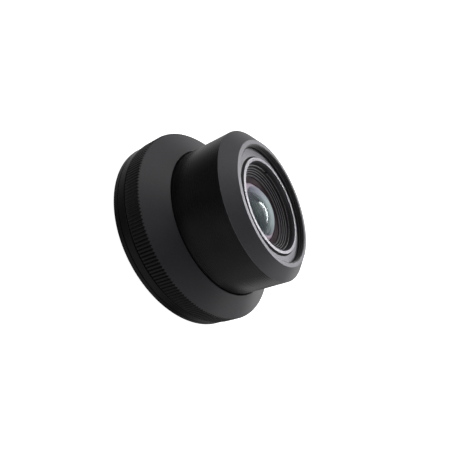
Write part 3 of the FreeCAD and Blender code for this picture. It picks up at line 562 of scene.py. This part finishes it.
# replace the straight thread wall by fine rows, the relief groove and the coved floor
k0 = max(i for i, p in enumerate(barrel_prof) if abs(p[0] - 22.6) < 0.02 and p[1] > 48.3)
k1 = next(i for i, p in enumerate(barrel_prof) if abs(p[0] - 19.43) < 1e-6)
wall = [(22.6, z) for z in np.arange(48.43, 47.12, -0.02)]
wall += rounded([(22.6, 47.11, 0.02), (23.45, 47.11, 0.03), (23.45, 46.84, 0.05), (23.12, 46.84, 0.03), (23.12, 46.60)], closed=False)
for k in range(1, 9):
    a = math.radians(90.0 * k / 8)
    wall.append((23.12 - 0.35 * (1 - math.cos(a)), 46.60 - 0.35 * math.sin(a)))
wall += [(22.6, 46.25), (19.46, 46.25)]
barrel_prof = barrel_prof[:k0 + 1] + wall + barrel_prof[k1:]
barrel = lathe("front_barrel_turned", "lens_head", barrel_prof, 720, thread, ["front_barrel"], 40.0)


def barrel_slot(c, n):
    r = c.xy.length
    if r > 24.45 and c.z > 44.62:
        return 1
    if n.z > 0.97 and c.z > 46.0 and r < 24.6:
        return 2
    if r < 23.5 and c.z > 46.2:
        return 3
    return 0


by_face(barrel, barrel_slot, M["barrel"], M["bevel"], M["face"], M["thread"])

# ------------------------------------------------------------------ parts of the front recess



def notches(T, R, Z):
    """Two spanner notches, 1.1 mm wide, in the lower edge of the bore."""
    out = R.copy()
    for a in (42.5, 222.5):
        off = (T - math.radians(a) + math.pi) % (2 * math.pi) - math.pi
        zone = (np.abs(off) * 16.8 < 0.55) & (R < 17.5) & (Z < 45.355)
        out[zone] = 17.5
    return out, Z


ring = lathe("front_retaining_ring_turned", "lens_head", rounded([
    (17.55, 47.00, 0.07), (18.75, 47.00, 0.06), (19.40, 46.30, 0.05), (19.40, 44.15), (17.7, 44.15),
    (17.7, 44.42, 0.03), (16.63, 44.42, 0.03), (16.63, 44.58, 0.05), (16.93, 44.66, 0.02), (17.04, 45.348), (17.045, 45.36)]), 1440, notches, ["front_retaining_ring"], 40.0)
by_face(ring, lambda c, n: 0 if n.z > 0.93 and c.z > 46.85 else 3 if c.xy.length > 18.76 else 2 if n.z > 0.2 and 44.43 < c.z < 44.72 else 1,
        M["ring"], M["bore"], M["land"], M["inside"])

pts = [(13.72, 41.38, 0.03)]
for k in range(4):
    for along, down, fil in ((0.0, 0.0, 0.03), (0.26, 0.0, 0.04), (0.38, 0.42, 0.03), (0.74, 0.42, 0.03)):
        pts.append((13.95 + 0.62 * k + (along + down) / math.sqrt(2), 41.70 + 0.62 * k + (along - down) / math.sqrt(2), fil))
pts += [(16.78, 43.97, 0.02), (16.92, 44.13, 0.03), (19.39, 44.13), (19.39, 43.2), (17.4, 43.2), (17.4, 42.2), (16.6, 41.38)]
lathe("light_baffle_ridged", "lens_head", rounded(pts), 540, None, ["light_baffle"], 50.0)
dress(bpy.data.objects["light_baffle_ridged"], M["baffle"])

lathe("front_lens_ring_turned", "lens_head", rounded([
    (11.49, 40.64, 0.03), (13.40, 41.254, 0.03), (13.42, 40.92), (13.74, 40.92), (13.75, 41.35), (15.2, 41.35),
    (15.2, 39.0), (13.05, 39.0), (13.05, 39.55), (11.49, 40.27, 0.02)]), 540, None, ["front_lens_ring"], 40.0)
# the faces from the groove in the lip outwards take the inner matt black: painted shade in the groove
by_face(bpy.data.objects["front_lens_ring_turned"], lambda c, n: 1 if c.xy.length > 13.405 and c.z > 40.5 else 0,
        M["brown"], M["inside"])


def cap(apex, radius, r0, r1, n=48):
    """Points on a sphere from radius r0 to r1 off the axis; a negative radius is
    a hollow, seen from the rear."""
    c = apex - abs(radius)
    return [(r0 + (r1 - r0) * k / n, c + math.sqrt(radius * radius - (r0 + (r1 - r0) * k / n) ** 2)) for k in range(n + 1)]


def lens(name, profile, old, mat):
    o = lathe(name, "lens_head", profile, 288, None, [old], 40.0, closed=False)
    dress(o, mat)
    return o


# The front glass is a steep meniscus, the second one is flatter with a hollow back.
lens("front_element_domed",
     cap(44.80, 16.75, 0, 12.98) + [(13.0, 38.60), (13.0, 35.83), (10.8, 35.83)] + cap(42.0, 12.5, 10.78, 0), "front_element", M["front_glass"])
lens("second_element_domed",
     cap(35.6, 36.4, 0, 12.98) + [(13.0, 33.18), (13.0, 30.6), (6.0, 30.6)] + cap(32.2, 12.0, 5.98, 0), "second_element", M["inner_glass"])

# ------------------------------------------------------------------ rear housing

rear = lathe("rear_ring_turned", "housing", rounded([
    (26.0, 8.0), (37.72, 8.0, 0.06), (38.17, 8.45, 0.10), (38.17, 10.12, 0.04), (38.09, 10.17, 0.03),
    (37.75, 10.17, 0.02), (37.75, 10.42), (26.0, 10.42)]), 720, None, (), 40.0)
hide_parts("rear_ring")
dress(rear, M["band"])
base = lathe("base_ring_turned", "housing", rounded([
    (33.5, 10.42), (37.75, 10.42), (37.75, 10.47, 0.02), (38.09, 10.47, 0.03), (38.17, 10.55, 0.04),
    (38.17, 13.24, 0.06), (38.05, 13.36, 0.05), (33.5, 13.36)]), 720, None, ["base_ring"], 40.0)
dress(base, M["band"])

# ------------------------------------------------------------------ room

floor_me = bpy.data.meshes.new("floor")
S = 3.0
floor_me.from_pydata([(-S, -S, 0), (S, -S, 0), (S, S, 0), (-S, S, 0)], [], [(0, 1, 2, 3)])
floor = bpy.data.objects.new("floor", floor_me)
coll.objects.link(floor)
fm = bpy.data.materials.new("pale floor")
fm.use_nodes = True
fn = fm.node_tree
fb = fn.nodes["Principled BSDF"]
fc = fn.nodes.new("ShaderNodeTexCoord")
fz = fn.nodes.new("ShaderNodeTexNoise")
fz.inputs["Scale"].default_value = 900.0
fn.links.new(fc.outputs["Object"], fz.inputs["Vector"])
fr = fn.nodes.new("ShaderNodeMapRange")
for i_, v_ in zip((1, 2, 3, 4), (0.3, 0.7, 0.84, 0.86)):
    fr.inputs[i_].default_value = v_
fn.links.new(fz.outputs["Fac"], fr.inputs[0])
fn.links.new(fr.outputs[0], fb.inputs["Base Color"])
fb.inputs["Roughness"].default_value = 0.9
fb.inputs["Emission Color"].default_value = (1, 1, 1, 1)
fb.inputs["Emission Strength"].default_value = 0.92
floor_me.materials.append(fm)
for ray in ("visible_glossy", "visible_diffuse", "visible_transmission"):
    setattr(floor, ray, False)

# The room's light, as soft lobes about the camera's own axes: (right, up, back,
# strength). White behind everything that the camera sees directly.
LOBES = [
    (0.88, 0.46, 0.08, 1.40), (0.32, 0.46, -0.83, 1.60), (0.48, 0.84, 0.23, 1.40), (0.64, -0.64, 0.42, 1.15),
    (0.40, -0.22, -0.89, 1.15), (0.77, -0.59, -0.23, 0.91), (0.03, -0.39, 0.92, 0.89), (0.28, 0.36, 0.89, 0.73),
    (0.84, -0.26, -0.48, 0.70), (-0.79, -0.61, -0.05, 0.67), (0.08, -0.60, -0.80, 0.60), (0.34, 0.84, -0.42, 0.62),
    (-0.30, -0.57, 0.77, 0.59), (0.00, -0.99, -0.14, 0.52), (-0.50, 0.41, -0.77, 0.48), (-0.93, -0.30, 0.20, 0.46),
    (0.23, 0.73, 0.64, 0.44), (-0.11, -0.85, 0.52, 0.44), (0.68, 0.03, -0.73, 0.43), (-0.83, 0.43, -0.36, 0.39),
    (0.17, 0.99, -0.02, 0.35), (0.03, 0.74, -0.67, 0.27), (-0.43, 0.74, -0.52, 0.23), (-0.18, -0.82, -0.55, 0.14),
    (-0.97, 0.25, 0.05, 0.14), (-0.34, -0.94, 0.11, 0.14),
]
SHARP = 25.0
world = bpy.data.worlds.new("studio")
scene.world = world
world.use_nodes = True
nt = world.node_tree
bg = nt.nodes["Background"]
tc = nt.nodes.new("ShaderNodeTexCoord")


def wmath(op, a, b=None, clamp=False):
    n = nt.nodes.new("ShaderNodeMath")
    n.operation, n.use_clamp = op, clamp
    for i, v in enumerate((a, b)):
        if v is None:
            continue
        if isinstance(v, (int, float)):
            n.inputs[i].default_value = v
        else:
            nt.links.new(v, n.inputs[i])
    return n.outputs[0]


def wdot(d):
    n = nt.nodes.new("ShaderNodeVectorMath")
    n.operation = "DOT_PRODUCT"
    nt.links.new(tc.outputs["Generated"], n.inputs[0])
    n.inputs[1].default_value = tuple(d)
    return n.outputs["Value"]


total = 0.0
for r_, u_, b_, power in LOBES:
    d_ = (RIGHT * r_ + UP * u_ + BACK * b_).normalized()
    lobe = wmath("MULTIPLY", wmath("POWER", wmath("MAXIMUM", wdot(d_), 0.0), SHARP), power)
    total = wmath("ADD", lobe, total)

def wstep(v, a, b):
    n = nt.nodes.new("ShaderNodeMapRange")
    n.interpolation_type = "SMOOTHSTEP"
    n.clamp = True
    n.inputs[1].default_value, n.inputs[2].default_value = a, b
    nt.links.new(v, n.inputs[0])
    return n.outputs[0]


# One round softbox with a bright rim on its far side: the highlight in the glass.
SOFTBOX = (6.8, 0.03, 0.85, 1.9)
bb = wmath("MULTIPLY", wmath("SUBTRACT", wdot(BACK), -0.17), 1.0 / 0.32)
uu = wmath("MULTIPLY", wmath("SUBTRACT", wdot(UP), 0.27), 1.0 / 0.36)
ee = wmath("SQRT", wmath("ADD", wmath("MULTIPLY", bb, bb), wmath("MULTIPLY", uu, uu)))
far = wmath("ADD", wmath("MULTIPLY", bb, -0.82), wmath("MULTIPLY", uu, 0.44))
band = wmath("MULTIPLY", wstep(ee, 0.62, 0.86), wstep(far, 0.25, 0.62))
box = wmath("ADD", wmath("ADD", wmath("MULTIPLY", wstep(far, 0.0, 1.0), SOFTBOX[2]), SOFTBOX[1]), wmath("MULTIPLY", band, SOFTBOX[3]))
box = wmath("MULTIPLY", wmath("MULTIPLY", box, wstep(wmath("SUBTRACT", 1.03, ee), 0.0, 0.06)), wstep(wdot(RIGHT), 0.1, 0.2))
total = wmath("ADD", total, wmath("MULTIPLY", box, SOFTBOX[0]))
lp = nt.nodes.new("ShaderNodeLightPath")
seen = wmath("MULTIPLY", lp.outputs["Is Transmission Ray"], wmath("LESS_THAN", lp.outputs["Diffuse Depth"], 0.5))
total = wmath("MULTIPLY", total, wmath("SUBTRACT", 1.0, wmath("MULTIPLY", seen, 0.96)))
mx = nt.nodes.new("ShaderNodeMix")
mx.data_type = "FLOAT"
nt.links.new(lp.outputs["Is Camera Ray"], mx.inputs[0])
nt.links.new(total, mx.inputs[2])
mx.inputs[3].default_value = 1.05
nt.links.new(mx.outputs[0], bg.inputs["Strength"])
bg.inputs["Color"].default_value = (1, 1, 1, 1)

scene.view_settings.view_transform = "Standard"
scene.view_settings.look = "None"
scene.view_settings.exposure = 0.0
